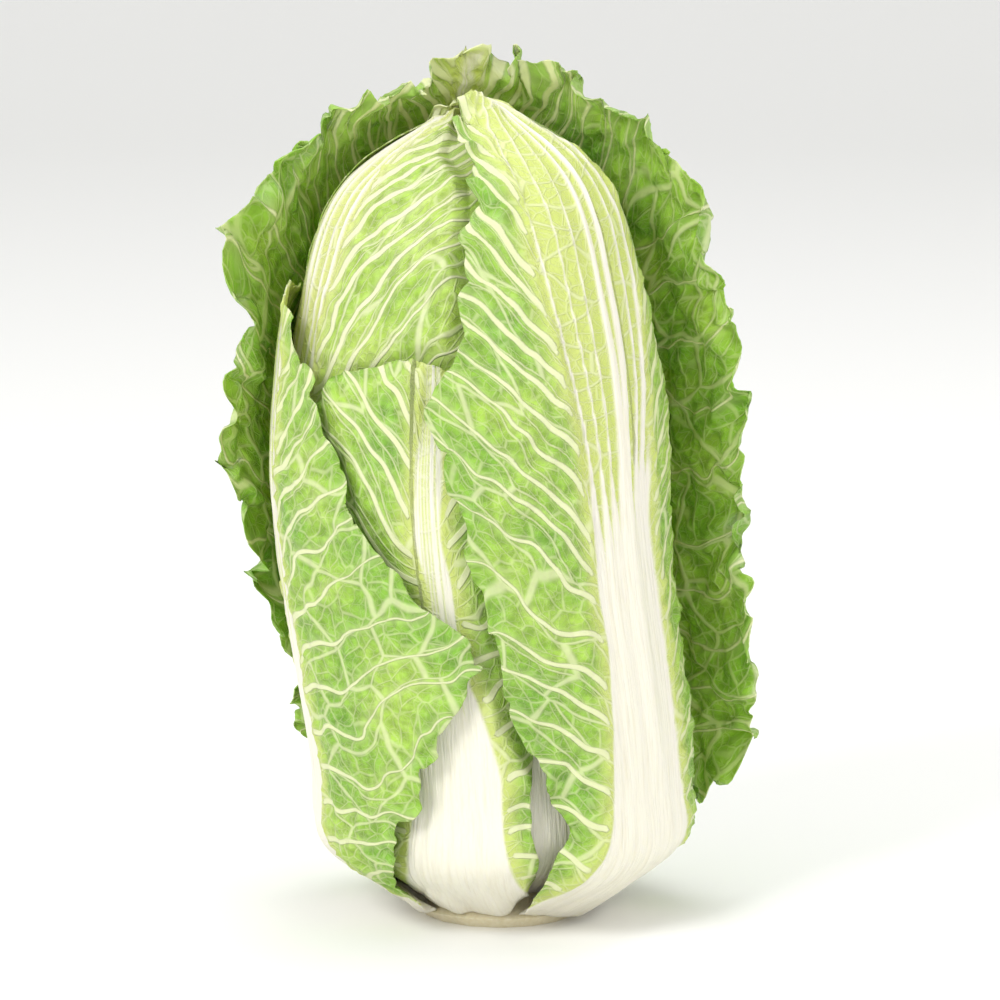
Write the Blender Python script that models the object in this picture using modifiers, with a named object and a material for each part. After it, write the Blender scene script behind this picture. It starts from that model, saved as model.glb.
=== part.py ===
"""A whole napa cabbage, standing on the cut face of its stem.

The head is a heap of leaves round a short conical core. Each leaf is a thick pale petiole
that thins upwards into a midrib, with a broad thin blade on both sides. The leaves are
laid from the heart outwards, and each one rests on those below it, as in a real head.
Metres, +Z up, the front is -Y, and the origin is the middle of the cut face.
"""

import math

import bpy
import numpy as np

# The outer shape of the head.
HEAD_HEIGHT = 0.292
HEAD_RADIUS = 0.071
WAIST_HEIGHT = 0.150
CROWN_POWER = 2.5
CROWN_ROUNDING = 0.6
BASE_TAPER = 0.03
BASE_TUCK = 0.52
BASE_POWER = 8.0
BASE_HEIGHT = 0.0045
LEAN = 0.012
LEAN_TOP = 0.170

# The core that the leaves grow from, and the heart line that they surround.
CORE_TOP = 0.032
HEART_TOP = 0.190
CUT_RADIUS = 0.028
CORE_GAP = 0.0006
BUD_SHARE = 0.13

# The leaves. Angles are in degrees, and azimuths are counted from the front towards +X.
HEART_LEAVES = 8
HEAD_LEAVES = 15
DIVERGENCE = 137.5
PETIOLE_THICKNESS = 0.0090
BLADE_THICKNESS = 0.0011
LEAF_GAP = 0.0005
LEVEL_POWER = 0.85
PETIOLE_FOOT = 25.0
PETIOLE_FOOT_END = 0.09
PETIOLE_HALF_ANGLE = 17.0
PETIOLE_TAPER = 1.6
MIDRIB_HALF_ANGLE = 2.5
WING_WIDTH = 0.088
WING_START = 0.03
WING_RISE = 0.50
WING_SHOULDER = 0.62
SWAY_SPAN = 0.80

# The wrapper leaves, from the outermost inwards. Each has an azimuth, the sway of its midrib on
# the way up, its reach as a share of the head's outside, how far its left and right edges flare
# out, and the angle from its petiole to the left and to the right edge on each of the EDGE_ROWS.
EDGE_ROWS = (0.0, 0.08, 0.16, 0.25, 0.34, 0.42, 0.50, 0.61, 0.75, 0.86, 0.95, 1.0)
WRAPPERS = (
    (180.0, 3.0, 1.05, 0.014, 0.012,
     (46, 54, 82, 92, 94, 94, 94, 96, 98, 98, 120, 180), (46, 50, 58, 66, 76, 86, 94, 100, 100, 98, 120, 180)),
    (56.0, -8.0, 1.05, 0.002, 0.0,
     (44, 42, 34, 45, 52, 54, 59, 65, 54, 62, 90, 180), (45, 50, 62, 68, 72, 74, 76, 78, 78, 80, 100, 180)),
    (-88.0, 8.0, 0.72, 0.0, 0.002,
     (44, 50, 60, 66, 70, 70, 66, 52, 0, 0, 0, 0), (43, 50, 58, 71, 89, 68, 55, 40, 0, 0, 0, 0)),
    (127.0, -4.0, 0.97, 0.0, 0.0,
     (46, 52, 64, 72, 76, 78, 80, 80, 72, 60, 30, 0), (46, 52, 64, 72, 76, 78, 80, 80, 72, 60, 30, 0)),
    (-16.0, 6.0, 0.66, 0.002, 0.0,
     (42, 45, 52, 56, 60, 60, 54, 30, 0, 0, 0, 0), (28, 31, 27, 29, 38, 44, 44, 24, 0, 0, 0, 0)),
)

# The rays that the leaves' corners lie on: a fine net for the outer leaves, and for the inner ones
# a coarse net of every other ray. The leaves on the fine net start a little above the coarse ones.
COLUMNS = 32
ROWS = (0.0, 0.04, 0.09, 0.155, 0.225, 0.30, 0.38, 0.46, 0.54, 0.62, 0.70, 0.775, 0.845, 0.905, 0.955, 0.985, 1.0)
COARSE_LEAVES = 18
NET_GAP = 0.0012
DEGREES_PER_ROW_SHARE = 260.0
CLOSEST_CUT = 0.15

GREEN = (0.42, 0.60, 0.14, 1.0)
PALE_GREEN = (0.60, 0.70, 0.26, 1.0)
YELLOW = (0.86, 0.82, 0.42, 1.0)
IVORY = (0.86, 0.82, 0.68, 1.0)


def smoothstep(value):
    share = np.clip(value, 0.0, 1.0)
    return share * share * (3.0 - 2.0 * share)


def head_outline(rows):
    """Radius and height of the head's outside at each share of the way from base to crown."""
    turn = np.linspace(-0.5 * math.pi, 0.5 * math.pi, 2001)
    above = np.clip(np.sin(turn), 0.0, 1.0)
    below = np.clip(-np.sin(turn), 0.0, 1.0)
    height = WAIST_HEIGHT + above * (HEAD_HEIGHT - WAIST_HEIGHT) - below * (WAIST_HEIGHT - BASE_HEIGHT)
    crown = (1.0 - above**CROWN_POWER) ** CROWN_ROUNDING
    base = 1.0 - BASE_TAPER * below - BASE_TUCK * below**BASE_POWER
    radius = HEAD_RADIUS * crown * base
    length = np.concatenate([[0.0], np.cumsum(np.hypot(np.diff(radius), np.diff(height)))])
    share = length / length[-1]
    return np.interp(rows, share, radius), np.interp(rows, share, height)


def lean(height):
    """How far the head leans to its left at that height."""
    return LEAN * float(smoothstep((height - CORE_TOP) / (LEAN_TOP - CORE_TOP)))


class RayNet:
    """Rays that fan out from the heart line to the head's outside. A leaf is two heights on each ray."""

    def __init__(self, rows, columns):
        self.rows = np.array(rows)[:, None]
        self.azimuth = np.arange(columns)[None, :] * (360.0 / columns)
        self.radius, height = head_outline(self.rows)
        rise = smoothstep((height - BASE_HEIGHT) / (HEAD_HEIGHT - BASE_HEIGHT))
        self.start = CORE_TOP + (HEART_TOP - CORE_TOP) * rise
        self.length = np.hypot(self.radius, height - self.start)
        self.out = self.radius / self.length
        self.up = (height - self.start) / self.length

    def point(self, place, heights):
        """The point at that height on the ray, where place is its row and column."""
        row, column = place
        azimuth = math.radians(self.azimuth[0, column])
        radius = self.out[row, 0] * heights[place]
        height = self.start[row, 0] + self.up[row, 0] * heights[place]
        return np.array([radius * math.sin(azimuth) - lean(height), -radius * math.cos(azimuth), height])

    def triangles(self):
        """The rays of each triangle of the net, anticlockwise from outside. The top row is one ray."""
        last = self.rows.size - 1
        for row in range(last):
            for column in range(self.azimuth.size):
                beside = (column + 1) % self.azimuth.size
                if row + 1 == last:
                    yield (row, column), (row, beside), (last, 0)
                else:
                    yield (row, column), (row, beside), (row + 1, beside)
                    yield (row, column), (row + 1, beside), (row + 1, column)


def petiole_half_angle(along):
    """Half the angle that the pale petiole spans."""
    left = np.clip(1.0 - along, 0.0, 1.0)
    foot = PETIOLE_FOOT * np.exp(-((along / PETIOLE_FOOT_END) ** 2))
    return MIDRIB_HALF_ANGLE + PETIOLE_HALF_ANGLE * left**PETIOLE_TAPER + foot


def blade_edges(net, leaf):
    """The angles from the petiole to the left and right edge on each row."""
    if "edges" in leaf:
        return [np.interp(net.rows, EDGE_ROWS, edge) for edge in leaf["edges"]]
    along = net.rows / leaf["reach"]
    rise = np.sin(0.5 * math.pi * np.clip((along - WING_START) / WING_RISE, 0.0, 1.0))
    past = np.clip((along - WING_SHOULDER) / (1.0 - WING_SHOULDER), 0.0, 1.0)
    width = WING_WIDTH * rise * np.sqrt(1.0 - past**2)
    edge = petiole_half_angle(along) * leaf["breadth"] + np.degrees(width / np.maximum(net.radius, 0.006))
    return [edge, edge]


def evened(heap):
    """The heap with its hollows raised to the mean of each ray and its eight neighbours."""
    tall = np.concatenate([heap[:1], heap, heap[-1:]])
    near = [np.roll(tall[i : i + len(heap)], shift, axis=1) for i in range(3) for shift in (-1, 0, 1)]
    return np.maximum(heap, np.mean(near, axis=0))


def refined(heap, net, fine_net):
    """The heap on a coarse net, read off on a finer one."""
    rows = [np.interp(fine_net.rows[:, 0], net.rows[:, 0], column) for column in (heap / net.length).T]
    around = np.append(net.azimuth[0], 360.0)
    shares = [np.interp(fine_net.azimuth[0], around, np.append(row, row[0])) for row in np.array(rows).T]
    return np.array(shares) * fine_net.length + NET_GAP


def settle(net, heap, leaf):
    """Lays a leaf on the heap: how far inside its outline each ray is, and its two heights there.

    Leaves rest on the heap, and the heart of each leaf is held out to its own level as well. High
    in the head, where leaves are thin, the outer ones are pushed closer together.
    """
    along = net.rows / leaf["reach"]
    side = (net.azimuth - leaf["azimuth"] + 180.0) % 360.0 - 180.0
    left, right = blade_edges(net, leaf)
    edge = np.where(side > 0.0, right, left)
    inside = np.minimum(edge - np.abs(side), (1.0 - along) * DEGREES_PER_ROW_SHARE)
    petiole = petiole_half_angle(along) * leaf["breadth"]
    swayed = side - leaf["sway"] * np.sin(0.5 * math.pi * np.clip(along / SWAY_SPAN, 0.0, 1.0))
    across = np.clip(1.0 - (swayed / petiole) ** 2, 0.0, 1.0) ** 0.75
    rib = PETIOLE_THICKNESS * leaf["size"] * np.clip(1.0 - along, 0.0, 1.0) ** 1.3
    rib *= 0.7 + 0.3 * smoothstep(along / 0.15)
    thickness = BLADE_THICKNESS + (rib - BLADE_THICKNESS).clip(0.0) * across
    rest = evened(heap / net.length) * net.length + LEAF_GAP
    pushed = 0.6 * smoothstep(net.rows / 0.65) * smoothstep((leaf["level"] - 0.5) / 0.35)
    held = (leaf["level"] + (1.0 - leaf["level"]) * pushed) * net.length - thickness
    margin = smoothstep((np.abs(swayed) - petiole) / np.maximum(edge - petiole, 1.0))
    inner = rest + np.clip(held - rest, 0.0, None) * (1.0 - margin)
    curl = smoothstep((net.rows - 0.10) / 0.20) * smoothstep((0.97 - along) / 0.3) * margin**3
    inner += curl * np.where(side > 0.0, leaf["right_flare"], leaf["left_flare"])
    inner[-1] = inner[-1].mean()
    thickness[-1] = BLADE_THICKNESS
    return inside, inner, inner + thickness


def cut_triangle(triangle, inside):
    """The corners of the part of a triangle that is inside. A corner is a ray, or (ray, ray, share)."""
    corners = []
    for i, place in enumerate(triangle):
        onward = triangle[(i + 1) % 3]
        if inside[place] > 0.0:
            corners.append(place)
        if (inside[place] > 0.0) != (inside[onward] > 0.0):
            first, second = sorted((place, onward))
            share = inside[first] / (inside[first] - inside[second])
            corners.append((first, second, min(max(share, CLOSEST_CUT), 1.0 - CLOSEST_CUT)))
    return corners


def corner_point(net, corner, heights):
    if len(corner) == 2:
        return net.point(corner, heights)
    first, second, share = corner
    return (1.0 - share) * net.point(first, heights) + share * net.point(second, heights)


def leaf_object(name, net, inside, inner, outer, material, collection):
    """A closed leaf: the net's triangles at the inner and outer heights, cut along its outline."""
    number, points, faces, rim = {}, [], [], {}
    for triangle in net.triangles():
        corners = cut_triangle(triangle, inside)
        for corner in corners:
            if corner not in number:
                number[corner] = len(number)
                points += [corner_point(net, corner, inner), corner_point(net, corner, outer)]
        ring = [2 * number[corner] for corner in corners]
        if ring:
            faces += [ring[::-1], [i + 1 for i in ring]]
        for start, end in zip(ring, ring[1:] + ring[:1]):
            if rim.pop((end, start), None) is None:
                rim[start, end] = [start, end, end + 1, start + 1]
    mesh = bpy.data.meshes.new(name)
    mesh.from_pydata(points, [], faces + list(rim.values()))
    mesh.materials.append(material)
    mesh.shade_smooth()
    mesh.set_sharp_from_angle(angle=math.radians(40.0))
    obj = bpy.data.objects.new(name, mesh)
    collection.objects.link(obj)
    return obj


def turned_object(name, profile, steps, material, collection):
    """A solid turned from (radius, height) points that run down its outside, then leant with the head."""
    mesh = bpy.data.meshes.new(name)
    edges = [(i, i + 1) for i in range(len(profile) - 1)]
    mesh.from_pydata([(radius, 0.0, height) for radius, height in profile], edges, [])
    mesh.materials.append(material)
    obj = bpy.data.objects.new(name, mesh)
    collection.objects.link(obj)
    turn = obj.modifiers.new("turn", "SCREW")
    turn.steps = turn.render_steps = steps
    turn.use_merge_vertices = True
    turn.merge_threshold = 0.0001
    turned = bpy.data.meshes.new_from_object(obj.evaluated_get(bpy.context.evaluated_depsgraph_get()))
    obj.modifiers.clear()
    obj.data = turned
    for vert in turned.vertices:
        vert.co.x -= lean(vert.co.z)
    turned.shade_smooth()
    turned.set_sharp_from_angle(angle=math.radians(35.0))
    return obj


def principled(name, colour, roughness):
    material = bpy.data.materials.new(name)
    material.use_nodes = True
    shader = material.node_tree.nodes["Principled BSDF"]
    shader.inputs["Base Color"].default_value = colour
    shader.inputs["Roughness"].default_value = roughness
    material.diffuse_color = colour
    return material


def core(net, material, collection):
    """The solid stem: a flat cut face below, and a cone above that the leaves grow from."""
    rim = net.radius[0, 0]
    slope = net.up[0, 0] / net.out[0, 0]
    apex = CORE_TOP - CORE_GAP
    profile = [(0.0, apex), (rim, apex + slope * rim), (CUT_RADIUS, 0.0), (0.0, 0.0)]
    return turned_object("stem_core", profile, net.azimuth.size, material, collection)


def bud(net, material, collection):
    """The growing point: an egg of tight young leaves that sits on the tip of the core."""
    reach = BUD_SHARE * net.length[:-1]
    side = np.concatenate([net.out[:-1] * reach, net.start[:-1] + net.up[:-1] * reach], axis=1)
    top = (0.0, HEART_TOP + BUD_SHARE * (HEAD_HEIGHT - HEART_TOP))
    profile = [top, *side[::-1].tolist(), (0.0, CORE_TOP)]
    return turned_object("heart_bud", profile, net.azimuth.size, material, collection)


def leaf_plan():
    """Every leaf's numbers, from the heart outwards. Past the wrappers they follow one divergence."""
    count = HEART_LEAVES + HEAD_LEAVES + len(WRAPPERS)
    leaves = []
    for order in range(count):
        from_outside = count - 1 - order
        share = (order + 1) / count
        leaf = {
            "name": leaf_name(from_outside),
            "azimuth": WRAPPERS[-1][0] - DIVERGENCE * (from_outside - len(WRAPPERS) + 1),
            "sway": 5.0 * math.sin(2.1 * order + 0.6),
            "reach": min(1.05, 0.88 + 0.17 * share + 0.02 * math.sin(1.7 * order)),
            "level": BUD_SHARE + (1.0 - BUD_SHARE) * share**LEVEL_POWER,
            "size": 0.30 + 0.70 * share,
            "breadth": 0.96 + 0.04 * math.cos(2.4 * order),
            "left_flare": 0.0,
            "right_flare": 0.0,
        }
        if from_outside < len(WRAPPERS):
            azimuth, sway, reach, left_flare, right_flare, *edges = WRAPPERS[from_outside]
            leaf.update(azimuth=azimuth, sway=sway, reach=reach, edges=edges)
            leaf.update(left_flare=left_flare, right_flare=right_flare)
        leaves.append(leaf)
    return leaves


def leaf_name(from_outside):
    """Leaves are numbered in the order that they peel off."""
    if from_outside < len(WRAPPERS):
        return f"wrapper_leaf_{from_outside + 1:02d}"
    if from_outside < len(WRAPPERS) + HEAD_LEAVES:
        return f"head_leaf_{from_outside - len(WRAPPERS) + 1:02d}"
    return f"heart_leaf_{from_outside - len(WRAPPERS) - HEAD_LEAVES + 1:02d}"


def build():
    for obj in list(bpy.data.objects):
        bpy.data.objects.remove(obj)
    cabbage = bpy.data.collections.new("napa_cabbage")
    bpy.context.scene.collection.children.link(cabbage)
    net = RayNet(ROWS[::2], COLUMNS // 2)
    fine_net = RayNet(ROWS, COLUMNS)
    core(net, principled("stem", IVORY, 0.6), cabbage)
    bud(net, principled("heart_bud", YELLOW, 0.5), cabbage)
    finishes = {
        "wrapper": principled("wrapper_leaf", GREEN, 0.45),
        "head": principled("head_leaf", PALE_GREEN, 0.45),
        "heart": principled("heart_leaf", YELLOW, 0.5),
    }
    heap = np.repeat(BUD_SHARE * net.length, net.azimuth.size, axis=1)
    for order, leaf in enumerate(leaf_plan()):
        if order == COARSE_LEAVES:
            heap, net = refined(heap, net, fine_net), fine_net
        inside, inner, outer = settle(net, heap, leaf)
        finish = finishes[leaf["name"].split("_")[0]]
        leaf_object(leaf["name"], net, inside, inner, outer, finish, cabbage)
        used = np.zeros(inside.shape, bool)
        for triangle in net.triangles():
            if any(inside[place] > 0.0 for place in triangle):
                used[tuple(zip(*triangle))] = True
        used[-1] = used[-1].any()
        heap = np.where(used, np.maximum(heap, outer), heap)


build()
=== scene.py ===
"""A whole head of napa cabbage, standing on its trimmed stem on a pale floor.

The head is put together from the inside out, as it grows: the stem, the heart, then leaf
over leaf. Metres, +Z up, the front is -Y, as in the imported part.
"""

import math

import bpy
import numpy as np
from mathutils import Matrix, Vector


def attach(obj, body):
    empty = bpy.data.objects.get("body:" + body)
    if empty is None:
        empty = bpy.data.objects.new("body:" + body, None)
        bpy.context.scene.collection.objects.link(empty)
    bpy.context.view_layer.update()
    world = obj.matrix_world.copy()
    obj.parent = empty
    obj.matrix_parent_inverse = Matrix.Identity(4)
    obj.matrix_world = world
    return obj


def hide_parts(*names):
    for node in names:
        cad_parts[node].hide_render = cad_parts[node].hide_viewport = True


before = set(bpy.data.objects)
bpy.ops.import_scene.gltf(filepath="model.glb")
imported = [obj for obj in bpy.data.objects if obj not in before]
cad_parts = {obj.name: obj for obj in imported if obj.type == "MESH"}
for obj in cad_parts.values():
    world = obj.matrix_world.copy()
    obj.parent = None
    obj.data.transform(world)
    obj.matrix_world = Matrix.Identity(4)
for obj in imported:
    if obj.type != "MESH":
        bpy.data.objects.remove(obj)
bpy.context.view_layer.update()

# ---------------------------------------------------------------------------------------------
# The heart: the stem's flesh, the bud and the young inner leaves. They are closed in by the
# head, so they keep their solid shapes and get the finish of pale, juicy tissue.
# ---------------------------------------------------------------------------------------------


def linear(code):
    """A colour written as sRGB hex, as linear red, green, blue and alpha."""
    parts = [int(code[i : i + 2], 16) / 255.0 for i in (0, 2, 4)]
    return [c / 12.92 if c <= 0.04045 else ((c + 0.055) / 1.055) ** 2.4 for c in parts] + [1.0]


def add(tree, kind, inputs=(), out=0, **settings):
    """Adds a node with its settings, sets or links its inputs by place or name, and returns an output."""
    made = tree.nodes.new(kind)
    for name, value in settings.items():
        setattr(made, name, value)
    for key, value in inputs.items() if isinstance(inputs, dict) else enumerate(inputs):
        if isinstance(value, bpy.types.NodeSocket):
            tree.links.new(value, made.inputs[key])
        else:
            made.inputs[key].default_value = value
    return made.outputs[out] if len(made.outputs) else made


def new_material(name):
    material = bpy.data.materials.new(name)
    material.use_nodes = True
    material.node_tree.nodes.clear()
    return material, material.node_tree


def flesh_material(name, pale, deep, streak_mm):
    """Raw vegetable flesh: fine fibres that run up the piece, and a moist skin that lets some light in."""
    material, tree = new_material(name)
    place = add(tree, "ShaderNodeTexCoord", out="Object")
    fibres = add(tree, "ShaderNodeMapping", {"Vector": place, "Scale": (1.0, 1.0, 0.12)})
    fibre = add(tree, "ShaderNodeTexNoise", {"Vector": fibres, "Scale": 1000.0 / streak_mm, "Detail": 4.0})
    colour = add(tree, "ShaderNodeMix", {0: fibre, 6: linear(pale), 7: linear(deep)}, 2, data_type="RGBA")
    bump = add(tree, "ShaderNodeBump", {"Strength": 0.4, "Distance": 0.0004, "Height": fibre})
    shader = add(tree, "ShaderNodeBsdfPrincipled", {
        "Base Color": colour, "Roughness": 0.5, "Normal": bump,
        "Subsurface Weight": 0.15, "Subsurface Scale": 0.004, "Subsurface Radius": (1.0, 0.9, 0.5)})
    add(tree, "ShaderNodeOutputMaterial", [shader])
    return material


stem_flesh = flesh_material("stem_flesh", "F1EAD2", "D9CBA0", 1.6)
young_leaf = flesh_material("young_leaf_tissue", "F4EFA8", "E3DC74", 3.0)
WRAPPED_HEAD_LEAVES = range(6, 16)
kept = ["heart_bud"] + [f"heart_leaf_{i:02d}" for i in range(1, 9)]
kept += [f"head_leaf_{i:02d}" for i in WRAPPED_HEAD_LEAVES]
for name in kept:
    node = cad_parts[name]
    node.data.materials.clear()
    node.data.materials.append(young_leaf)
core_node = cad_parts["stem_core"]
core_node.data.materials.clear()
core_node.data.materials.append(stem_flesh)

# ---------------------------------------------------------------------------------------------
# The head leaves: broad soft blades on thick white petioles, laid one over the other in a
# spiral. Each is a thin closed shell that rests on the heap of leaves inside it.
# ---------------------------------------------------------------------------------------------

HEAD_HEIGHT = 0.292
HEAD_RADIUS = 0.071
WAIST_HEIGHT = 0.150
BASE_HEIGHT = 0.0045
CORE_TOP = 0.032
HEART_TOP = 0.190
LEAN = 0.012
LEAN_TOP = 0.170
BUD_SHARE = 0.13  # of the way from the core to the outside
HEART_LEAVES = 8
HEAD_LEAVES = 15
WRAPPER_LEAVES = 5
LEAF_COUNT = HEART_LEAVES + HEAD_LEAVES + WRAPPER_LEAVES
INNER_WRAPPER_AZIMUTH = -16.0
DIVERGENCE = 137.5  # degrees from each leaf to the next
PETIOLE_THICKNESS = 0.0090
BLADE_THICKNESS = 0.0007
LEAF_GAP = 0.0009
ROWS = 256
COLUMNS = 360
EDGE_ROWS = (0.0, 0.08, 0.16, 0.25, 0.34, 0.42, 0.50, 0.61, 0.75, 0.86, 0.95, 1.0)


def smoothstep(value):
    share = np.clip(value, 0.0, 1.0)
    return share * share * (3.0 - 2.0 * share)


def head_outline(rows):
    """Radius, height and length of the head's outside at each share of the way from base to crown."""
    turn = np.linspace(-0.5 * math.pi, 0.5 * math.pi, 4001)
    above = np.clip(np.sin(turn), 0.0, 1.0)
    below = np.clip(-np.sin(turn), 0.0, 1.0)
    height = WAIST_HEIGHT + above * (HEAD_HEIGHT - WAIST_HEIGHT) - below * (WAIST_HEIGHT - BASE_HEIGHT)
    radius = HEAD_RADIUS * (1.0 - above**2.5) ** 0.6 * (1.0 - 0.03 * below - 0.52 * below**8)
    length = np.concatenate([[0.0], np.cumsum(np.hypot(np.diff(radius), np.diff(height)))])
    share = length / length[-1]
    return np.interp(rows, share, radius), np.interp(rows, share, height), length[-1]


share_up = np.linspace(0.0, 1.0, ROWS)[:, None]
azimuth = np.arange(COLUMNS)[None, :] * (360.0 / COLUMNS)
outline_radius, outline_height, outline_length = head_outline(share_up)
ray_start = CORE_TOP + (HEART_TOP - CORE_TOP) * smoothstep(
    (outline_height - BASE_HEIGHT) / (HEAD_HEIGHT - BASE_HEIGHT))
ray_length = np.hypot(outline_radius, outline_height - ray_start)
ray_out = outline_radius / ray_length
ray_up = (outline_height - ray_start) / ray_length
MM = 1000.0


def wander(x, y, size, seed):
    """A smooth random field between -1 and 1, with swells about this size across."""
    lattice = np.random.default_rng(seed).uniform(-1.0, 1.0, (64, 64))
    u, v = x / size + 31.3, y / size + 17.7
    i, j = np.floor(u).astype(int), np.floor(v).astype(int)
    s, t = smoothstep(u - i), smoothstep(v - j)
    low = lattice[i % 64, j % 64] * (1.0 - s) + lattice[(i + 1) % 64, j % 64] * s
    high = lattice[i % 64, (j + 1) % 64] * (1.0 - s) + lattice[(i + 1) % 64, (j + 1) % 64] * s
    return low * (1.0 - t) + high * t


def spread_out(field, reach, combine):
    """Combines each ray with those up to `reach` rows and columns away."""
    padded = np.concatenate([np.repeat(field[:1], reach, 0), field, np.repeat(field[-1:], reach, 0)])
    field = combine([padded[i : i + ROWS] for i in range(2 * reach + 1)], axis=0)
    return combine([np.roll(field, shift, axis=1) for shift in range(-reach, reach + 1)], axis=0)


# What an ordinary leaf does. Pairs are for its two sides, lengths in metres unless named mm.
LEAF_HABIT = {
    "breadth": 1.0,  # of the petiole
    "fan": 0.2,  # how far the ribs spread towards the tip
    "slim": 0.0,  # how much the bundle of ribs narrows above the middle
    "flare": (0.0, 0.0),  # how far the margins stand off the head
    "lapel": (0.0, 0.0),  # how far the last 22 mm curl away
    "tame": 0.0,  # how much of that curl is missing low on the second side
    "ruffle": 2.6,  # height of the frill, mm
    "frill_mm": 8.0,  # width of the frill
    "crown_frill": 2.3,  # extra frill at the crown
    "lobe": 2.6,  # depth of the margin's lobes, mm
    "crinkle": 1.0,
}
LAPEL_WIDTH_MM = 22.0
LATERAL_SPACING_MM = 13.0
SHOULDER = (0.006, 0.82, 0.085)  # how far the blades swell out, where up the head, over how much of it
FOOT = (0.006, 0.115, 0.05)


def leaf_plan():
    """Every head and heart leaf's numbers, from the heart outwards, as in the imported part."""
    plan = []
    for order in range(LEAF_COUNT - WRAPPER_LEAVES):
        from_outside = LEAF_COUNT - 1 - order
        share = (order + 1) / LEAF_COUNT
        number = from_outside - WRAPPER_LEAVES + 1
        name = f"head_leaf_{number:02d}"
        if number > HEAD_LEAVES:
            name = f"heart_leaf_{number - HEAD_LEAVES:02d}"
        plan.append({
            **LEAF_HABIT, "name": name, "order": order, "share": share,
            "azimuth": INNER_WRAPPER_AZIMUTH - DIVERGENCE * number,
            "sway": 5.0 * math.sin(2.1 * order + 0.6),
            "reach": min(1.05, 0.88 + 0.17 * share + 0.02 * math.sin(1.7 * order)),
            "breadth": 0.96 + 0.04 * math.cos(2.4 * order),
        })
    return plan


def petiole_half_angle(along):
    left = np.clip(1.0 - along, 0.0, 1.0)
    return 2.5 + 17.0 * left**1.6 + 25.0 * np.exp(-((along / 0.09) ** 2))


def place_leaf(leaf):
    """Where a leaf lies: measures in millimetres across, along and in from its edge, on every ray."""
    along = share_up / leaf["reach"]
    side = (azimuth - leaf["azimuth"] + 180.0) % 360.0 - 180.0
    petiole = petiole_half_angle(along) * leaf["breadth"]
    if "edges" in leaf:  # half-widths in degrees, on the first and the second side
        left, right = (np.interp(share_up, EDGE_ROWS, edge) for edge in leaf["edges"])
        past = np.clip((along - 0.86) / 0.14, 0.0, 1.0)
        left, right = left * np.sqrt(1.0 - past**2), right * np.sqrt(1.0 - past**2)
    else:
        rise = np.sin(0.5 * math.pi * np.clip((along - 0.03) / 0.50, 0.0, 1.0))
        past = np.clip((along - 0.62) / 0.38, 0.0, 1.0)
        width = 0.088 * rise * np.sqrt(1.0 - past**2)
        left = right = petiole + np.degrees(width / np.maximum(outline_radius, 0.006))
    edge = np.where(side > 0.0, right, left)
    arc = np.radians(1.0) * outline_radius * MM
    y = share_up * outline_length * MM + 0.0 * side
    swayed = side - leaf["sway"] * np.sin(0.5 * math.pi * np.clip(along / 0.80, 0.0, 1.0))
    seed = 100 + leaf["order"]
    lobes = leaf["lobe"] * (2.0 * np.sqrt(np.abs(wander(side * arc, y, 13.0, seed)) + 0.01) - 1.1)
    lobes += 0.35 * leaf["lobe"] * wander(side * arc, y, 5.0, seed + 40)
    lobes *= smoothstep((share_up - 0.07) / 0.1)
    inside = np.minimum((edge - np.abs(side)) * arc, (1.0 - along) * outline_length * MM) + lobes
    inside[:3] = np.where(np.abs(side[:3]) < edge[:3], np.maximum(inside[:3], 0.3), -1.0)
    leaf.update(along=along, side=side, swayed=swayed, petiole=petiole, edge=edge, inside=inside)
    leaf.update(x=swayed * arc, y=y, arc=arc)


def lay_leaf(leaf, heap):
    """Lays a leaf on the heap: its inner height and thickness on every ray. Returns the new heap."""
    along, swayed, petiole = leaf["along"], leaf["swayed"], leaf["petiole"]
    level = BUD_SHARE + (1.0 - BUD_SHARE) * leaf["share"] ** 0.85
    across = np.clip(1.0 - (swayed / petiole) ** 2, 0.0, 1.0) ** 0.75
    rib = PETIOLE_THICKNESS * (0.30 + 0.70 * leaf["share"]) * np.clip(1.0 - along, 0.0, 1.0) ** 1.3
    rib = rib * (0.7 + 0.3 * smoothstep(along / 0.15))
    thickness = BLADE_THICKNESS + (rib - BLADE_THICKNESS).clip(0.0) * across
    rest = heap / ray_length
    rest = spread_out(spread_out(rest, 3, np.max), 3, np.mean) * ray_length + LEAF_GAP
    pushed = 0.6 * smoothstep(share_up / 0.65) * smoothstep((level - 0.5) / 0.35)
    held = (level + (1.0 - level) * pushed) * ray_length - thickness
    margin = smoothstep((np.abs(swayed) - petiole) / np.maximum(leaf["edge"] - petiole, 1.0))
    inner = rest + np.clip(held - rest, 0.0, None) * (1.0 - margin)
    inner[-1] = inner[-1].mean()
    leaf.update(inner=inner, thickness=thickness, margin=margin)
    return np.where(leaf["inside"] > 0.0, np.maximum(heap, inner + thickness), heap)


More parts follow.
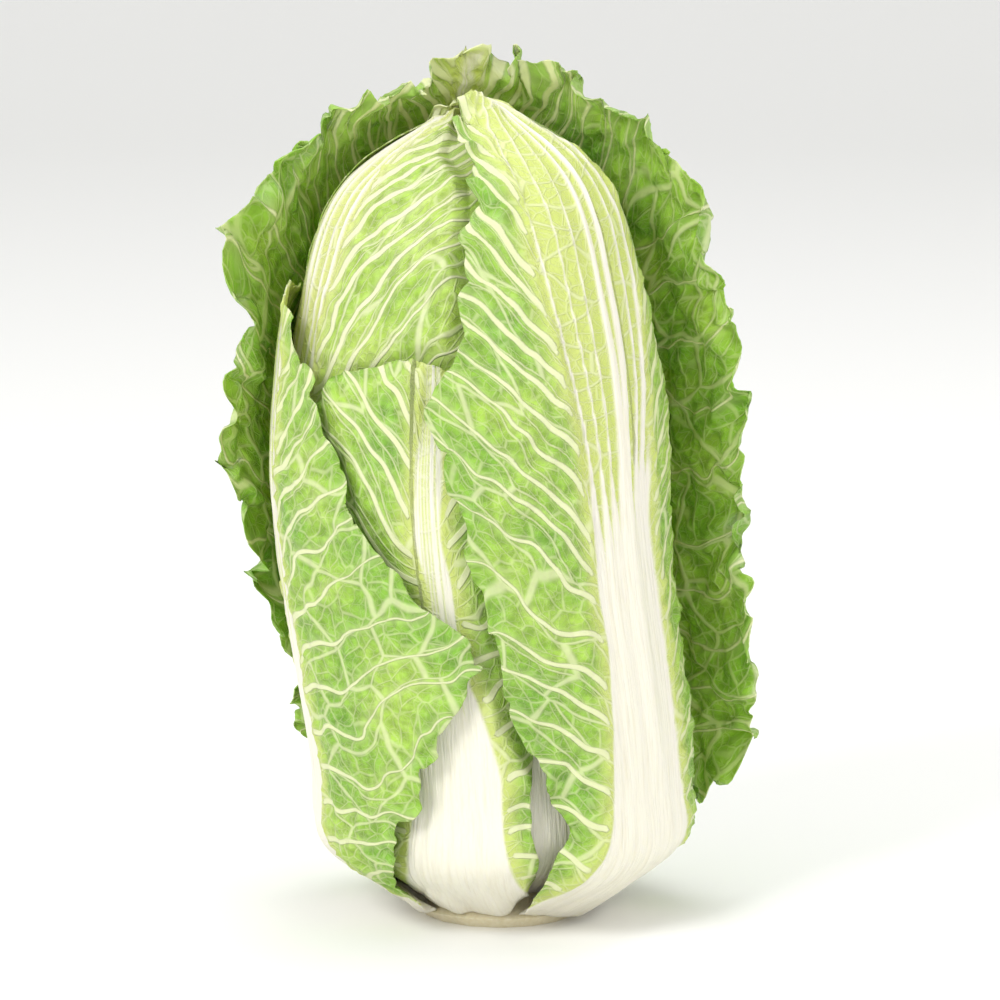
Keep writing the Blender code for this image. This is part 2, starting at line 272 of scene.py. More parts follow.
def cut_net(inside):
    """The net's triangles inside the leaf's outline. Corners are (first ray, second ray, share)."""
    number = np.arange(inside.size).reshape(inside.shape)
    number[-1] = number[-1, 0]
    beside = np.roll(number, -1, axis=1)
    low = np.stack([number[:-1], beside[:-1], beside[1:]], -1).reshape(-1, 3)
    high = np.stack([number[:-1], beside[1:], number[1:]], -1).reshape(-1, 3)
    triangles = np.concatenate([low, high[high[:, 1] != high[:, 2]]])
    depth = inside.ravel()
    held = depth[triangles] > 0.0
    count = held.sum(axis=1)

    def odd_corner_first(chosen, state):
        first = np.argmax(held[chosen] == state, axis=1)[:, None]
        return np.take_along_axis(triangles[chosen], (first + np.arange(3)) % 3, axis=1)

    tips, notches = odd_corner_first(count == 1, True), odd_corner_first(count == 2, False)
    crossed = np.concatenate([tips[:, [0, 1]], tips[:, [0, 2]], notches[:, [0, 1]], notches[:, [0, 2]]])
    pairs, place = np.unique(np.sort(crossed, axis=1), axis=0, return_inverse=True)
    place = place.reshape(-1) + inside.size
    tip_b, tip_c, notch_b, notch_c = np.split(place, np.cumsum([len(tips), len(tips), len(notches)]))
    faces = np.concatenate([
        triangles[count == 3],
        np.stack([tips[:, 0], tip_b, tip_c], -1),
        np.stack([notch_b, notches[:, 1], notches[:, 2]], -1),
        np.stack([notch_b, notches[:, 2], notch_c], -1),
    ])
    first, second = pairs[:, 0], pairs[:, 1]
    share = np.clip(depth[first] / (depth[first] - depth[second]), 0.05, 0.95)
    rays = np.arange(inside.size)
    ends = np.concatenate([rays, first]), np.concatenate([rays, second])
    shares = np.concatenate([np.zeros(inside.size), share])
    used, faces = np.unique(faces, return_inverse=True)
    return ends[0][used], ends[1][used], shares[used], faces.reshape(-1, 3)


def lean(height):
    return LEAN * smoothstep((height - CORE_TOP) / (LEAN_TOP - CORE_TOP))


def net_points(distance, turn=0.0, rise=0.0):
    """Points at a distance along every ray, moved sideways and upwards along the head by metres."""
    angle = np.radians(azimuth) + turn / np.maximum(outline_radius, 0.010)
    distance = distance + 0.0 * azimuth
    radius = ray_out * distance - rise * ray_up * (share_up > 0.5)
    height = ray_start + ray_up * distance + rise * ray_out
    return np.stack([radius * np.sin(angle) - lean(height), -radius * np.cos(angle), height], -1)


def leaf_shell(leaf):
    """The leaf as a closed shell, with what its finish needs stored on its points."""
    seed = 300 + leaf["order"]
    x, y, along = leaf["x"], leaf["y"], leaf["along"]
    edge_in = np.clip(leaf["inside"], 0.0, None)
    bare = leaf["bare"]
    side_of = (leaf["side"] > 0.0).astype(int)
    high = smoothstep((share_up - 0.72) / 0.22)
    low_on_second_side = side_of * (1.0 - smoothstep((share_up - 0.60) / 0.13))
    calm = 1.0 - leaf["tame"] * low_on_second_side
    curl = smoothstep((share_up - 0.10) / 0.20) * leaf["margin"] ** 3
    curl = np.maximum(curl, 0.8 * smoothstep((along - 0.82) / 0.15))
    flare = np.array(leaf["flare"])[side_of] * curl * (1.0 - 0.68 * high) * calm
    near_edge = np.clip(1.0 - edge_in / LAPEL_WIDTH_MM, 0.0, 1.0) ** 1.6
    lapel = np.array(leaf["lapel"])[side_of] * near_edge * (1.0 - 0.55 * high) * calm
    lapel = lapel * smoothstep((share_up - 0.12) / 0.12)

    wave = wander(x, y, 12.0, seed) + 0.5 * wander(x, y, 5.5, seed + 1)
    fold = wander(x, y, 12.0, seed + 2) + 0.6 * wander(x, y, 6.0, seed + 3)
    frill = leaf["ruffle"] / MM * np.exp(-((edge_in / leaf["frill_mm"]) ** 1.4)) * bare
    frill = frill * smoothstep((share_up - 0.08) / 0.1)
    frill = frill * (1.0 + leaf["crown_frill"] * smoothstep((share_up - 0.78) / 0.15))
    swell = 0.0022 * (0.5 + 0.5 * wander(x, y, 34.0, seed + 4)) * bare * leaf["margin"] ** 0.5
    blister = wander(x, y, 9.5, seed + 8) + 0.5 * wander(x, y, 4.6, seed + 9)
    blister = 0.0015 * leaf["crinkle"] * (0.8 + blister).clip(0.0) * bare * np.sqrt(leaf["margin"])
    blister += 0.0007 * wander(x, y * 0.06, 5.5, seed + 12) * bare * (1.0 - leaf["margin"])
    lift = flare + lapel * bare + swell + blister + frill * (0.6 + 0.9 * wave).clip(0.0)
    for most, place, width in (SHOULDER, FOOT):
        lift = lift + most * np.exp(-(((share_up - place) / width) ** 2))
    outward = np.clip(leaf["side"] / 30.0, -1.0, 1.0)
    turn = frill * 0.7 * fold - 0.5 * lapel * outward * bare
    rise = frill * 0.8 * wander(x, y, 7.0, seed + 5)
    inner = net_points(leaf["inner"] + lift, turn, rise)
    edge_thin = leaf["thickness"] * (0.55 + 0.45 * smoothstep(edge_in / 4.0))
    outer = net_points(leaf["inner"] + lift + edge_thin, turn, rise)

    # The bundle of ribs: seven side by side, merged into one petiole low down.
    spread = np.radians(leaf["petiole"]) * outline_radius * MM
    fan = leaf["fan"] * np.radians(27.0) * outline_radius * MM * smoothstep((along - 0.38) / 0.50)
    spread = spread * (1.0 - 0.8 * leaf["fan"] * smoothstep((along - 0.38) / 0.45)) + fan
    spread = spread * (1.0 - leaf["slim"] * smoothstep((along - 0.40) / 0.18))
    rib_gap = spread / 3.0
    rib = 0.5 + 2.6 * np.clip(1.0 - along, 0.0, 1.0) ** 0.9
    rib = np.maximum(rib, 2.0 * rib_gap * (1.0 - smoothstep((along - 0.36) / 0.22)))
    rib_drift = 0.22 * wander(x, y * 0.35, 14.0, seed + 10) * smoothstep((along - 0.3) / 0.3)
    rib_place = x / np.maximum(rib_gap, 0.05) + rib_drift
    wavy_x = x + 2.2 * wander(x, y * 0.5, 11.0, seed + 11)
    beyond = np.abs(wavy_x) - spread - 0.8 * np.minimum(rib, 3.0)

    # The side veins leave the bundle steeply and level out. Each is where this phase is whole.
    slope = np.interp(share_up, (0.1, 0.25, 0.5, 0.7, 0.9), (0.15, 0.35, 0.8, 1.25, 1.8))
    off = np.clip(beyond, 0.0, None)
    phase = (y - slope * off * (1.25 - off / 150.0).clip(0.6)) / LATERAL_SPACING_MM
    phase += 0.55 * wander(x, y, 30.0, seed + 6)
    phase += 0.16 * wander(x, y, 9.0, seed + 7)
    rate_y = np.gradient(phase, axis=0) / (outline_length * MM / (ROWS - 1))
    rate_x = np.gradient(phase, axis=1) / np.maximum(leaf["arc"], 0.05)
    gap = 1.0 / np.clip(np.hypot(rate_x, rate_y), 0.02, 0.5)
    phase = phase + 40.0 * (leaf["side"] > 0.0)
    fields = {
        "leaf": (x, y, edge_in),
        "lateral": (phase, gap, beyond),
        "stalk": (rib_place, rib_gap + 0.0 * x, rib + 0.0 * x),
        "bare": (bare, bare, bare),
    }
    first, second, share, faces = cut_net(leaf["inside"])

    def on_net(field):
        flat = field.reshape(inner.shape[0] * inner.shape[1], -1)
        return flat[first] * (1.0 - share[:, None]) + flat[second] * share[:, None]

    count = len(first)
    points = np.concatenate([on_net(inner), on_net(outer)])
    starts, ends = faces.ravel(), np.roll(faces, -1, axis=1).ravel()
    rim = ~np.isin(starts.astype(np.int64) * count + ends, ends.astype(np.int64) * count + starts)
    a, b = starts[rim], ends[rim]
    walls = np.concatenate([np.stack([a, b, b + count], -1), np.stack([a, b + count, a + count], -1)])
    triangles = np.concatenate([faces[:, ::-1], faces + count, walls])
    mesh = bpy.data.meshes.new(leaf["name"])
    mesh.vertices.add(len(points))
    mesh.vertices.foreach_set("co", points.ravel())
    mesh.loops.add(triangles.size)
    mesh.loops.foreach_set("vertex_index", triangles.ravel().astype(np.int32))
    mesh.polygons.add(len(triangles))
    mesh.polygons.foreach_set("loop_start", np.arange(0, triangles.size, 3, dtype=np.int32))
    mesh.update(calc_edges=True)
    mesh.validate()
    fields["outward"] = tuple(np.moveaxis(net_points(ray_length) - net_points(0.98 * ray_length), -1, 0))
    for name, parts in fields.items():
        values = on_net(np.stack(parts, -1))
        if name == "outward":
            values /= np.linalg.norm(values, axis=1)[:, None]
        attribute = mesh.attributes.new(name, "FLOAT_VECTOR", "POINT")
        attribute.data.foreach_set("vector", np.concatenate([values, values]).astype(np.float32).ravel())
    return mesh


def vein_marks(tree, lateral, stalk):
    """Distances in mm from the nearest rib, side vein, forked vein and small vein, and what scales them."""
    lateral = add(tree, "ShaderNodeSeparateXYZ", [lateral]).node.outputs
    stalk = add(tree, "ShaderNodeSeparateXYZ", [stalk]).node.outputs
    to_rib = add(tree, "ShaderNodeMath", (stalk[0], 0.5), operation="PINGPONG")
    to_rib = add(tree, "ShaderNodeMath", (to_rib, stalk[1]), operation="MULTIPLY")
    which = add(tree, "ShaderNodeMath", (stalk[0], 1.0), operation="SNAP")
    chance = add(tree, "ShaderNodeTexWhiteNoise", {"W": which}, noise_dimensions="1D")
    width = add(tree, "ShaderNodeMapRange", (chance, 0.0, 1.0, 0.35, 1.15))
    middle = add(tree, "ShaderNodeMath", [which], operation="ABSOLUTE")
    middle = add(tree, "ShaderNodeMapRange", (middle, 0.0, 1.0, 1.9, 0.0))
    width = add(tree, "ShaderNodeMath", (width, middle), operation="MAXIMUM")
    rib = add(tree, "ShaderNodeMath", (stalk[2], width), operation="MULTIPLY")
    to_vein = add(tree, "ShaderNodeMath", (lateral[0], 0.5), operation="PINGPONG")
    to_vein = add(tree, "ShaderNodeMath", (to_vein, lateral[1]), operation="MULTIPLY")
    between = add(tree, "ShaderNodeMapRange", (lateral[2], -2.0, 3.0, 6.0, 0.0))
    to_vein = add(tree, "ShaderNodeMath", (to_vein, between), operation="ADD")
    distances = []
    for along, across in ((1.0, 1.0 / 24.0), (2.3, 1.0 / 8.0)):
        u = add(tree, "ShaderNodeMath", (lateral[0], along), operation="MULTIPLY")
        v = add(tree, "ShaderNodeMath", (lateral[2], across), operation="MULTIPLY")
        cell = add(tree, "ShaderNodeCombineXYZ", (u, v, 0.0))
        edge = add(tree, "ShaderNodeTexVoronoi", {"Vector": cell, "Scale": 1.0},
                   feature="DISTANCE_TO_EDGE", voronoi_dimensions="2D")
        distances.append(add(tree, "ShaderNodeMath", (edge, 11.0 / along), operation="MULTIPLY"))
    return to_rib, to_vein, distances[0], distances[1], lateral[2], rib


def relief_tree():
    """Raises ribs and veins, and puckers the blade between them."""
    tree = bpy.data.node_groups.new("leaf_relief", "GeometryNodeTree")
    face = tree.interface
    face.new_socket("Geometry", in_out="INPUT", socket_type="NodeSocketGeometry")
    heights = {"Rib height": 0.0009, "Vein height": 0.0013, "Pucker height": 0.0034, "Pucker size mm": 6.5}
    for name, value in heights.items():
        face.new_socket(name, in_out="INPUT", socket_type="NodeSocketFloat").default_value = value
    face.new_socket("Finish", in_out="INPUT", socket_type="NodeSocketMaterial")
    face.new_socket("Geometry", in_out="OUTPUT", socket_type="NodeSocketGeometry")
    given = add(tree, "NodeGroupInput").node.outputs
    read = {
        name: add(tree, "GeometryNodeInputNamedAttribute", {"Name": name}, data_type="FLOAT_VECTOR")
        for name in ("leaf", "lateral", "stalk", "outward", "bare")
    }
    to_rib, to_vein, to_fork, to_cross, beyond, rib = vein_marks(tree, read["lateral"], read["stalk"])
    blade = add(tree, "ShaderNodeMapRange", (beyond, -0.5, 2.5, 0.0, 1.0), interpolation_type="SMOOTHSTEP")
    round_rib = add(tree, "ShaderNodeMath", (to_rib, rib), operation="DIVIDE")
    round_rib = add(tree, "ShaderNodeMath", (round_rib, 2.0), operation="POWER")
    round_rib = add(tree, "ShaderNodeMath", (1.0, round_rib), operation="SUBTRACT", use_clamp=True)
    stalky = add(tree, "ShaderNodeMath", (1.0, blade), operation="SUBTRACT")
    ribs = add(tree, "ShaderNodeMath", (round_rib, stalky), operation="MULTIPLY")
    ribs = add(tree, "ShaderNodeMath", (ribs, given["Rib height"]), operation="MULTIPLY")
    vein = add(tree, "ShaderNodeMapRange", (to_vein, 2.6, 0.2, 0.0, 1.0), interpolation_type="SMOOTHSTEP")
    fade = add(tree, "ShaderNodeMapRange", (beyond, 10.0, 90.0, 1.0, 0.25))
    vein = add(tree, "ShaderNodeMath", (vein, fade), operation="MULTIPLY")
    fork = add(tree, "ShaderNodeMapRange", (to_fork, 2.2, 0.1, 0.0, 0.7), interpolation_type="SMOOTHSTEP")
    cross = add(tree, "ShaderNodeMapRange", (to_cross, 1.6, 0.1, 0.0, 0.45), interpolation_type="SMOOTHSTEP")
    vein = add(tree, "ShaderNodeMath", (vein, fork), operation="MAXIMUM")
    vein = add(tree, "ShaderNodeMath", (vein, cross), operation="MAXIMUM")
    vein = add(tree, "ShaderNodeMath", (vein, blade), operation="MULTIPLY")
    veins = add(tree, "ShaderNodeMath", (vein, given["Vein height"]), operation="MULTIPLY")
    leaf = add(tree, "ShaderNodeSeparateXYZ", [read["leaf"]]).node.outputs
    flat = add(tree, "ShaderNodeCombineXYZ", (leaf[0], leaf[1], 0.0))
    finer = add(tree, "ShaderNodeMath", (1.0, given["Pucker size mm"]), operation="DIVIDE")
    bumps = add(tree, "ShaderNodeTexNoise", {"Vector": flat, "Scale": finer, "Detail": 2.0},
                noise_dimensions="3D")
    bumps = add(tree, "ShaderNodeMapRange", (bumps, 0.3, 0.7, 0.0, 1.0))
    open_blade = add(tree, "ShaderNodeMath", (1.0, vein), operation="SUBTRACT")
    bumps = add(tree, "ShaderNodeMath", (bumps, open_blade), operation="MULTIPLY")
    bumps = add(tree, "ShaderNodeMath", (bumps, blade), operation="MULTIPLY")
    puckers = add(tree, "ShaderNodeMath", (bumps, given["Pucker height"]), operation="MULTIPLY")
    relief = add(tree, "ShaderNodeMath", (ribs, veins), operation="ADD")
    relief = add(tree, "ShaderNodeMath", (relief, puckers), operation="ADD")
    bare = add(tree, "ShaderNodeSeparateXYZ", [read["bare"]])
    relief = add(tree, "ShaderNodeMath", (relief, bare), operation="MULTIPLY")
    push = add(tree, "ShaderNodeVectorMath", {0: read["outward"], "Scale": relief}, operation="SCALE")
    raised = add(tree, "GeometryNodeSetPosition", {"Geometry": given["Geometry"], "Offset": push})
    smooth = add(tree, "GeometryNodeSetShadeSmooth", {"Geometry": raised})
    real = add(tree, "GeometryNodeRealizeInstances", {"Geometry": smooth})
    coated = add(tree, "GeometryNodeSetMaterial", {"Geometry": real, "Material": given["Finish"]})
    add(tree, "NodeGroupOutput", [coated])
    return tree


def leaf_material(name, petiole_hex, streak_and_shade_hex, young_hex, blade_hex, deep_hex, vein_hex):
    """Crisp living leaf: waxy cream petiole and ribs, a yellow-green border beside them, and a
    green blade crossed by pale raised veins, a little see-through."""
    material, tree = new_material(name)
    read = {
        key: add(tree, "ShaderNodeAttribute", out="Vector", attribute_name=key)
        for key in ("leaf", "lateral", "stalk")
    }
    to_rib, to_vein, to_fork, to_cross, beyond, rib = vein_marks(tree, read["lateral"], read["stalk"])
    leaf = add(tree, "ShaderNodeSeparateXYZ", [read["leaf"]]).node.outputs
    flat = add(tree, "ShaderNodeCombineXYZ", (leaf[0], leaf[1], 0.0))

    patches = add(tree, "ShaderNodeTexNoise", {"Vector": flat, "Scale": 1.0 / 28.0, "Detail": 3.0})
    patches = add(tree, "ShaderNodeMapRange", (patches, 0.36, 0.64, 0.0, 1.0))
    cells = add(tree, "ShaderNodeTexNoise", {"Vector": flat, "Scale": 1.0 / 4.0, "Detail": 3.0})
    net = add(tree, "ShaderNodeTexNoise", {"Vector": flat, "Scale": 1.0 / 6.0, "Detail": 2.0}, 1)
    bent = add(tree, "ShaderNodeVectorMath", {0: net, 1: (2.4, 2.4, 0.0), 2: flat}, operation="MULTIPLY_ADD")
    mesh_1 = add(tree, "ShaderNodeTexVoronoi", {"Vector": bent, "Scale": 1.0 / 4.6},
                 feature="DISTANCE_TO_EDGE")
    mesh_2 = add(tree, "ShaderNodeTexVoronoi", {"Vector": bent, "Scale": 1.0 / 1.9},
                 feature="DISTANCE_TO_EDGE")

    young = add(tree, "ShaderNodeMapRange", (beyond, 0.5, 10.0, 1.0, 0.0), interpolation_type="SMOOTHSTEP")
    old = add(tree, "ShaderNodeMapRange", (leaf[2], 14.0, 0.0, 0.0, 0.55), interpolation_type="SMOOTHSTEP")
    green = add(tree, "ShaderNodeMix", {0: patches, 6: linear(blade_hex), 7: linear(deep_hex)}, 2,
                data_type="RGBA")
    green = add(tree, "ShaderNodeMix", {0: old, 6: green, 7: linear(deep_hex)}, 2, data_type="RGBA")
    # Lighter and darker patches on the noise that also raises the bumps: painted crinkle shade and painted
    # highlight.
    crinkle_shade_and_highlight = add(tree, "ShaderNodeMapRange", (cells, 0.35, 0.65, 0.74, 1.18))
    green = add(tree, "ShaderNodeVectorMath", {0: green, "Scale": crinkle_shade_and_highlight}, operation="SCALE")
    green = add(tree, "ShaderNodeMix", {0: young, 6: green, 7: linear(young_hex)}, 2, data_type="RGBA")

    narrow = add(tree, "ShaderNodeMapRange", (beyond, 0.0, 45.0, 0.90, 0.10))
    wide = add(tree, "ShaderNodeMath", (narrow, 0.65), operation="ADD")
    vein = add(tree, "ShaderNodeMapRange", (to_vein, wide, narrow, 0.0, 1.0), interpolation_type="SMOOTHSTEP")
    halo = add(tree, "ShaderNodeMapRange", (to_vein, 3.2, 0.5, 0.0, 0.20), interpolation_type="SMOOTHSTEP")
    fork = add(tree, "ShaderNodeMapRange", (to_fork, 0.75, 0.15, 0.0, 0.65), interpolation_type="SMOOTHSTEP")
    cross = add(tree, "ShaderNodeMapRange", (to_cross, 0.42, 0.08, 0.0, 0.38),
                interpolation_type="SMOOTHSTEP")
    lace = add(tree, "ShaderNodeMapRange", (mesh_1, 0.06, 0.012, 0.0, 0.24), interpolation_type="SMOOTHSTEP")
    fine = add(tree, "ShaderNodeMapRange", (mesh_2, 0.09, 0.02, 0.0, 0.12), interpolation_type="SMOOTHSTEP")
    pale = add(tree, "ShaderNodeMath", (vein, halo), operation="MAXIMUM")
    pale = add(tree, "ShaderNodeMath", (pale, fork), operation="MAXIMUM")
    pale = add(tree, "ShaderNodeMath", (pale, cross), operation="MAXIMUM")
    pale = add(tree, "ShaderNodeMath", (pale, lace), operation="MAXIMUM")
    pale = add(tree, "ShaderNodeMath", (pale, fine), operation="MAXIMUM")
    blade = add(tree, "ShaderNodeMix", {0: pale, 6: green, 7: linear(vein_hex)}, 2, data_type="RGBA")

    grain = add(tree, "ShaderNodeVectorMath", {0: flat, 1: (1.0, 0.06, 1.0)}, operation="MULTIPLY")
    grain = add(tree, "ShaderNodeTexNoise", {"Vector": grain, "Scale": 0.8, "Detail": 4.0})
    # Darker in the flutes between the ribs: painted shade. The tan streaks from the grain are the petiole's
    # own colour.
    painted_flute_shade = add(tree, "ShaderNodeMath", (to_rib, rib), operation="DIVIDE")
    painted_flute_shade = add(tree, "ShaderNodeMapRange", (painted_flute_shade, 0.2, 1.0, 0.0, 0.22))
    stain = add(tree, "ShaderNodeMapRange", (grain, 0.5, 0.75, 0.0, 0.45))
    streaks_and_flute_shade = add(tree, "ShaderNodeMath", (painted_flute_shade, stain), operation="ADD", use_clamp=True)
    stalk = add(tree, "ShaderNodeMix", {0: streaks_and_flute_shade, 6: linear(petiole_hex), 7: linear(streak_and_shade_hex)}, 2,
                data_type="RGBA")
    inner_rib = add(tree, "ShaderNodeMath", (rib, 0.9), operation="SUBTRACT")
    outer_rib = add(tree, "ShaderNodeMath", (rib, 0.5), operation="ADD")
    on_rib = add(tree, "ShaderNodeMapRange", (to_rib, outer_rib, inner_rib, 0.0, 1.0),
                 interpolation_type="SMOOTHSTEP")
    on_stalk = add(tree, "ShaderNodeMapRange", (beyond, 1.2, -0.6, 0.0, 1.0), interpolation_type="SMOOTHSTEP")
    white = add(tree, "ShaderNodeMath", (on_rib, on_stalk), operation="MULTIPLY")
    colour = add(tree, "ShaderNodeMix", {0: white, 6: blade, 7: stalk}, 2, data_type="RGBA")

    height = add(tree, "ShaderNodeMath", (cells, 0.5, pale), operation="MULTIPLY_ADD")
    height = add(tree, "ShaderNodeMix", {0: white, 2: height, 3: grain}, 0, data_type="FLOAT")
    bump = add(tree, "ShaderNodeBump", {"Strength": 0.7, "Distance": 0.0010, "Height": height})
    rough = add(tree, "ShaderNodeMapRange", (white, 0.0, 1.0, 0.46, 0.36))
    shader = add(tree, "ShaderNodeBsdfPrincipled", {
        "Base Color": colour, "Roughness": rough, "Normal": bump,
        "Subsurface Weight": 0.12, "Subsurface Scale": 0.003, "Subsurface Radius": (0.9, 1.0, 0.35)})
    through = add(tree, "ShaderNodeBsdfTranslucent", {"Color": colour, "Normal": bump})
    thin = add(tree, "ShaderNodeMapRange", (white, 0.0, 1.0, 0.18, 0.0))
    mixed = add(tree, "ShaderNodeMixShader", (thin, shader, through))
    add(tree, "ShaderNodeOutputMaterial", [mixed])
    return material


leaf_relief = relief_tree()


def finish_leaf(leaf, material):
    """Gives a laid leaf its relief, and puts it in the part in place of its solid."""
    shell = leaf_shell(leaf)
    raw = bpy.data.objects.new(leaf["name"] + "_raw", shell)
    bpy.context.scene.collection.objects.link(raw)
    relief = raw.modifiers.new("relief", "NODES")
    relief.node_group = leaf_relief
    sockets = leaf_relief.interface.items_tree
    named = {item.name: item.identifier for item in sockets if item.in_out == "INPUT"}
    relief[named["Finish"]] = material
    mesh = bpy.data.meshes.new_from_object(raw.evaluated_get(bpy.context.evaluated_depsgraph_get()))
    bpy.data.objects.remove(raw)
    piece = bpy.data.objects.new(leaf["name"] + "_blade", mesh)
    bpy.context.scene.collection.objects.link(piece)
    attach(piece, "root")
    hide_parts(leaf["name"])
    return piece


leaves = leaf_plan()
by_name = {leaf["name"]: leaf for leaf in leaves}
by_name["head_leaf_01"]["edges"] = (
    (44, 42, 50, 60, 66, 72, 78, 84, 90, 95, 100, 110), (44, 42, 45, 50, 54, 56, 58, 58, 56, 54, 60, 70))
by_name["head_leaf_02"]["edges"] = (
    (44, 40, 42, 46, 50, 52, 54, 56, 52, 50, 60, 70), (44, 42, 50, 60, 66, 72, 78, 84, 90, 95, 100, 110))
by_name["head_leaf_03"]["edges"] = (
    (44, 42, 50, 60, 66, 70, 72, 72, 72, 72, 80, 90), (44, 42, 46, 54, 62, 68, 74, 80, 84, 92, 110, 140))
by_name["head_leaf_03"]["fan"] = 0.7

# ---------------------------------------------------------------------------------------------
# The wrapper leaves: the five outermost, greener and more frilled. The back one curls away
# from the head all along both edges, and the front right one fans its petiole into ribs.
# ---------------------------------------------------------------------------------------------

wrappers = (
    {"azimuth": -16.0, "sway": 6.0, "reach": 0.66, "fan": 0.1, "slim": 0.55, "flare": (0.002, 0.0),
     "ruffle": 3.0, "lobe": 3.0,
     "edges": (
         (42, 45, 52, 56, 60, 60, 54, 40, 30, 0, 0, 0),
         (28, 31, 27, 29, 38, 44, 44, 34, 20, 0, 0, 0))},
    {"azimuth": 127.0, "sway": -4.0, "reach": 0.97, "fan": 0.2, "flare": (0.0, 0.0), "ruffle": 2.0,
     "lobe": 2.0,
     "edges": (
         (46, 52, 64, 72, 76, 78, 80, 80, 72, 60, 30, 0),
         (46, 52, 64, 72, 76, 78, 80, 80, 72, 60, 30, 0))},
    {"azimuth": -88.0, "sway": 8.0, "reach": 0.72, "fan": 0.2, "flare": (0.0, 0.002), "ruffle": 2.6,
     "lobe": 3.4,
     "edges": (
         (44, 50, 60, 66, 70, 70, 66, 52, 30, 0, 0, 0),
         (43, 50, 58, 71, 89, 68, 55, 40, 20, 0, 0, 0))},
    {"azimuth": 56.0, "sway": -8.0, "reach": 1.05, "fan": 1.0, "flare": (0.002, 0.0), "ruffle": 2.8,
     "lobe": 3.0,
     "edges": (
         (44, 42, 34, 45, 52, 54, 59, 65, 54, 56, 70, 120),
         (45, 50, 62, 68, 72, 74, 76, 78, 78, 80, 100, 180))},
    {"azimuth": 180.0, "sway": 3.0, "reach": 1.03, "fan": 0.3, "flare": (0.014, 0.012), "ruffle": 7.2,
     "lobe": 3.6,
     "edges": (
         (46, 54, 82, 92, 94, 94, 94, 96, 98, 98, 96, 92),
         (46, 50, 58, 66, 76, 86, 94, 100, 100, 98, 96, 92)),
     "lapel": (0.0055, 0.007), "tame": 0.95, "slim": 0.5, "crown_frill": 0.2, "frill_mm": 13.0,
     "crinkle": 1.6},
)
for number, wrapper in zip(range(WRAPPER_LEAVES, 0, -1), wrappers):
    order = len(leaves)
    name, share = f"wrapper_leaf_{number:02d}", (order + 1) / LEAF_COUNT
    leaves.append({**LEAF_HABIT, "name": name, "order": order, "share": share, **wrapper})

# ---------------------------------------------------------------------------------------------
# The wrapped head: all the leaves laid from the heart outwards, each on the heap so far. The
# ten outermost can be seen, and get their fine shapes. The rest only take up their room.
# ---------------------------------------------------------------------------------------------

for leaf in leaves:
    place_leaf(leaf)
heap = np.repeat(BUD_SHARE * ray_length, COLUMNS, axis=1)
for leaf in leaves:
    heap = lay_leaf(leaf, heap)
covered = np.zeros((ROWS, COLUMNS))
for leaf in reversed(leaves):
    leaf["bare"] = 1.0 - spread_out(spread_out(covered, 2, np.max), 3, np.mean)
    covered = np.maximum(covered, leaf["inside"] > 0.0)

SHOWN_HEAD_LEAVES = [f"head_leaf_{i:02d}" for i in range(1, WRAPPED_HEAD_LEAVES.start)]
# Crisp leaf tissue, in six colours: petiole, its streaks and painted shade between ribs, young border, blade,
# deep patches, veins. The head's own leaves look fresh and yellowish, the wrappers a fuller green.
PETIOLE_HEXES = ("EEEADA", "D9D0B6")
head_finish = leaf_material("pale_head_leaf", *PETIOLE_HEXES, "E2EA90", "BEDC60", "9FC946", "F2F4C6")
wrapper_finish = leaf_material("green_wrapper_leaf", *PETIOLE_HEXES, "D9E77E", "AED452", "85BA3A", "EEF3BE")
for leaf in leaves:
    if leaf["name"].startswith("wrapper"):
        finish_leaf(leaf, wrapper_finish)
    elif leaf["name"] in SHOWN_HEAD_LEAVES:
        finish_leaf(leaf, head_finish)

# ---------------------------------------------------------------------------------------------
# The stage: a pale floor that sweeps up behind, broad soft lights, and a long lens.
# ---------------------------------------------------------------------------------------------

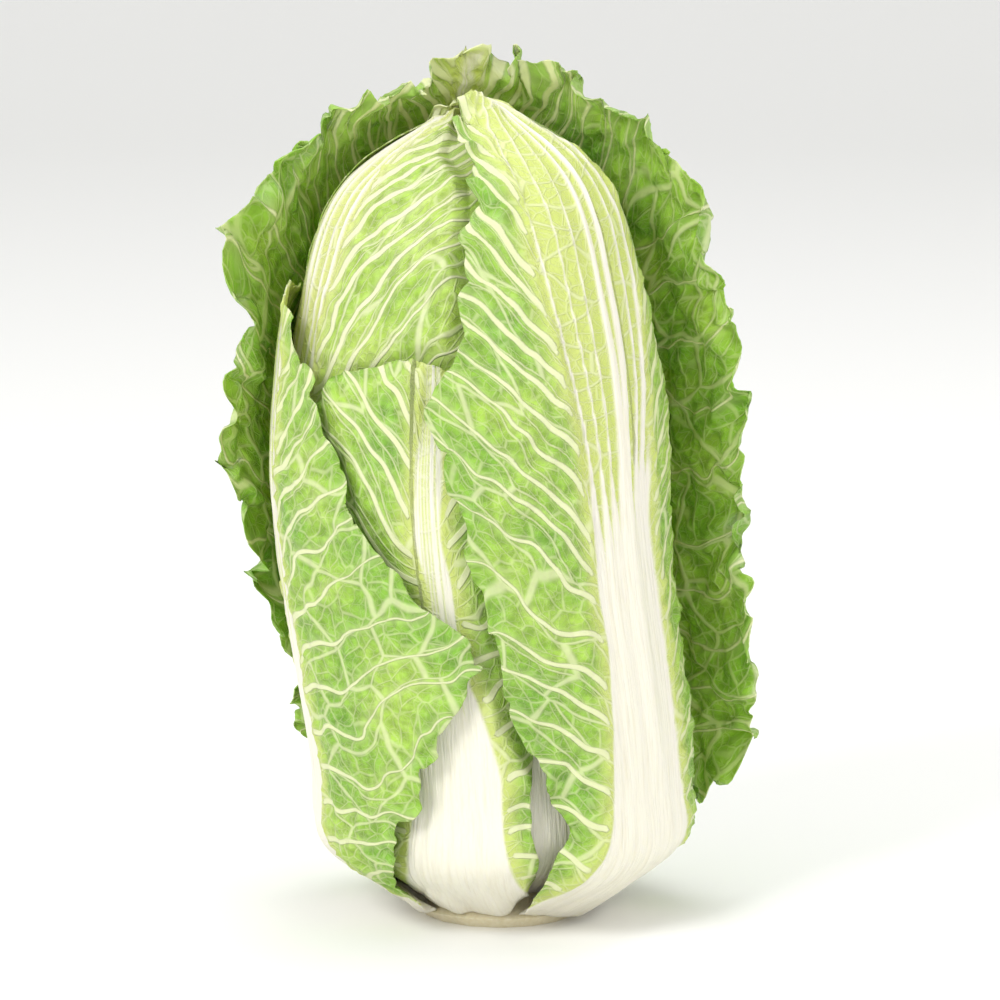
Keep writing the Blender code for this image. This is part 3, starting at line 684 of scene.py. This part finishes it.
floor_mesh = bpy.data.meshes.new("floor")
SWEEP = 1.5  # radius of the bend behind
bend = [(2.0 + SWEEP * math.sin(a), SWEEP * (1.0 - math.cos(a))) for a in np.linspace(0, math.pi / 2, 24)]
profile = [(-3.0, 0.0), *bend, (2.0 + SWEEP, 5.0)]
corners = [(side, y, z) for y, z in profile for side in (-5.0, 5.0)]
strips = [(2 * i, 2 * i + 1, 2 * i + 3, 2 * i + 2) for i in range(len(profile) - 1)]
floor_mesh.from_pydata(corners, [], strips)
floor_mesh.shade_smooth()
floor = bpy.data.objects.new("floor", floor_mesh)
bpy.context.scene.collection.objects.link(floor)
paper, paper_tree = new_material("white_paper_sweep")
paper_shader = add(paper_tree, "ShaderNodeBsdfPrincipled", {"Base Color": linear("F4F4F2"), "Roughness": 0.9})
add(paper_tree, "ShaderNodeOutputMaterial", [paper_shader])
floor_mesh.materials.append(paper)

world = bpy.data.worlds.new("soft_white_room")
world.use_nodes = True
world.node_tree.nodes["Background"].inputs[0].default_value = (1.0, 1.0, 1.0, 1.0)
world.node_tree.nodes["Background"].inputs[1].default_value = 0.72
bpy.context.scene.world = world
LIGHTS = (  # name, place, size in metres, watts
    ("key", (-1.1, -1.3, 1.3), 0.7, 22.0),
    ("fill", (1.4, -1.2, 0.9), 1.2, 9.0),
    ("top", (0.2, 0.4, 1.8), 1.2, 12.0),
)
for name, place, size, power in LIGHTS:
    lamp = bpy.data.lights.new(name, "AREA")
    lamp.size, lamp.energy = size, power
    lit = bpy.data.objects.new(name, lamp)
    lit.location = place
    lit.rotation_euler = (Vector((0.0, 0.0, 0.15)) - Vector(place)).to_track_quat("-Z", "Y").to_euler()
    bpy.context.scene.collection.objects.link(lit)

CAMERA_ELEVATION = 11.0
CAMERA_DISTANCE = 2.2
VIEW_WIDTH = 0.352
camera_data = bpy.data.cameras.new("camera")
camera_data.sensor_width = 36.0
camera_data.lens = camera_data.sensor_width * CAMERA_DISTANCE / VIEW_WIDTH
camera = bpy.data.objects.new("camera", camera_data)
aim = Vector((0.0, 0.0, 0.148))
tilt = math.radians(CAMERA_ELEVATION)
camera.location = aim + CAMERA_DISTANCE * Vector((0.0, -math.cos(tilt), math.sin(tilt)))
camera.rotation_euler = (aim - camera.location).to_track_quat("-Z", "Y").to_euler()
bpy.context.scene.collection.objects.link(camera)
bpy.context.scene.camera = camera
bpy.context.scene.view_settings.view_transform = "Standard"
